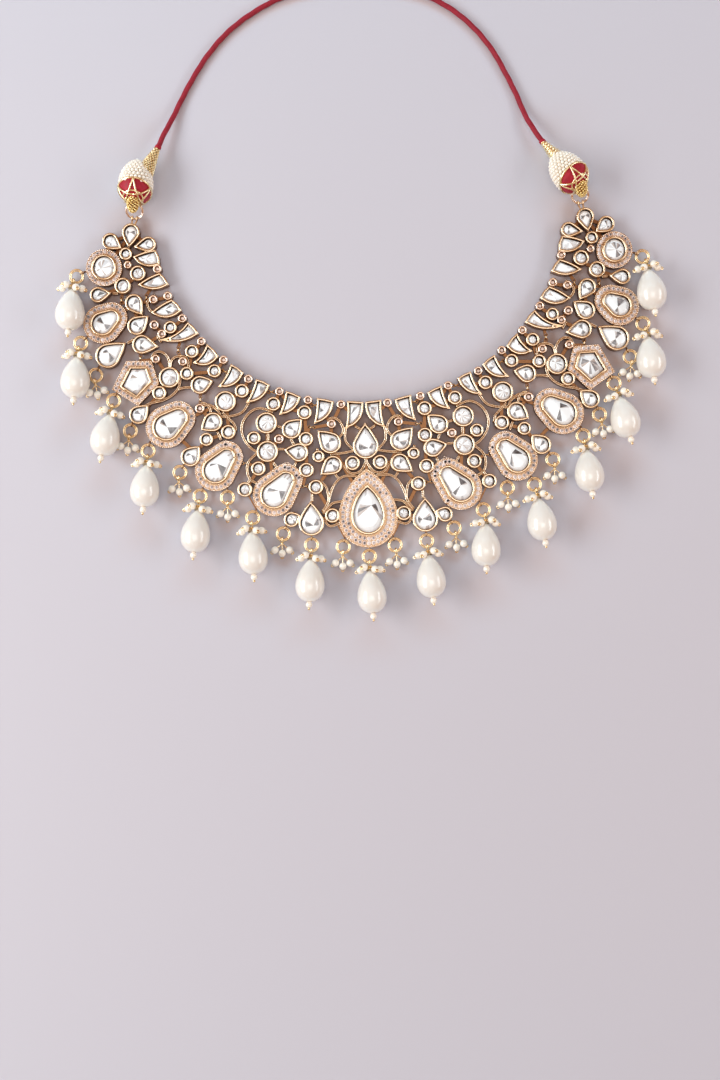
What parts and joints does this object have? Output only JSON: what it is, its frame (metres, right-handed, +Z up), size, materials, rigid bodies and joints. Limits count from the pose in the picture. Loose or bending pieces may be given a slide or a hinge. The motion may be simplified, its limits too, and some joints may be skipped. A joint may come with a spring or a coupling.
{
  "type": "kundan necklace",
  "caption": "Wide collar of stones set in linked gold openwork panels with pavé plates, pearl drops and bead clusters, beaded cones at both ends and a loose neck cord, lying flat.",
  "frame": {"origin": "centre of the middle medallion, on the flat back of the collar that lies on the surface", "axes": "+X towards the picture's right, +Y from the pearl drops towards the neck, +Z up from the back to the stones"},
  "size_m": [0.1828, 0.193, 0.0107],
  "materials": {
    "gold": "polished",
    "gold_pin": "polished",
    "gold_ring": "polished",
    "silver_hook": "polished",
    "stone": "faceted",
    "main_stone": "faceted",
    "pearl": "nacre",
    "beaded_cone": "seed beads",
    "cord": "twisted"
  },
  "bodies": {
    "root": {"panel_left_1": "gold", "panel_left_2": "gold", "panel_left_3": "gold", "panel_left_4": "gold", "panel_left_5": "gold", "panel_right_1": "gold", "panel_right_2": "gold", "panel_right_3": "gold", "panel_right_4": "gold", "panel_right_5": "gold", "panel_centre": "gold", "stones_left_1": "stone", "stones_left_2": "stone", "stones_left_3": "stone", "stones_left_4": "stone", "stones_left_5": "stone", "stones_right_1": "stone", "stones_right_2": "stone", "stones_right_3": "stone", "stones_right_4": "stone", "stones_right_5": "stone", "stones_centre": "stone", "main_stone_left_1": "main_stone", "main_stone_left_2": "main_stone", "main_stone_left_3": "main_stone", "main_stone_left_4": "main_stone", "main_stone_left_5": "main_stone", "main_stone_left_6": "main_stone", "main_stone_right_1": "main_stone", "main_stone_right_2": "main_stone", "main_stone_right_3": "main_stone", "main_stone_right_4": "main_stone", "main_stone_right_5": "main_stone", "main_stone_right_6": "main_stone", "main_stone_centre": "main_stone", "pearl_left_1": "pearl", "pearl_left_2": "pearl", "pearl_left_3": "pearl", "pearl_left_4": "pearl", "pearl_left_5": "pearl", "pearl_left_6": "pearl", "pearl_left_7": "pearl", "pearl_right_1": "pearl", "pearl_right_2": "pearl", "pearl_right_3": "pearl", "pearl_right_4": "pearl", "pearl_right_5": "pearl", "pearl_right_6": "pearl", "pearl_right_7": "pearl", "pearl_centre": "pearl", "head_pins_left": "gold_pin", "head_pins_right": "gold_pin", "bead_clusters": "gold_pin", "jump_rings": "gold_ring", "panel_links": "gold_ring", "end_hooks": "silver_hook", "cone_left": "beaded_cone", "cone_right": "beaded_cone", "neck_cord": "cord"}
  },
  "joints": []
}
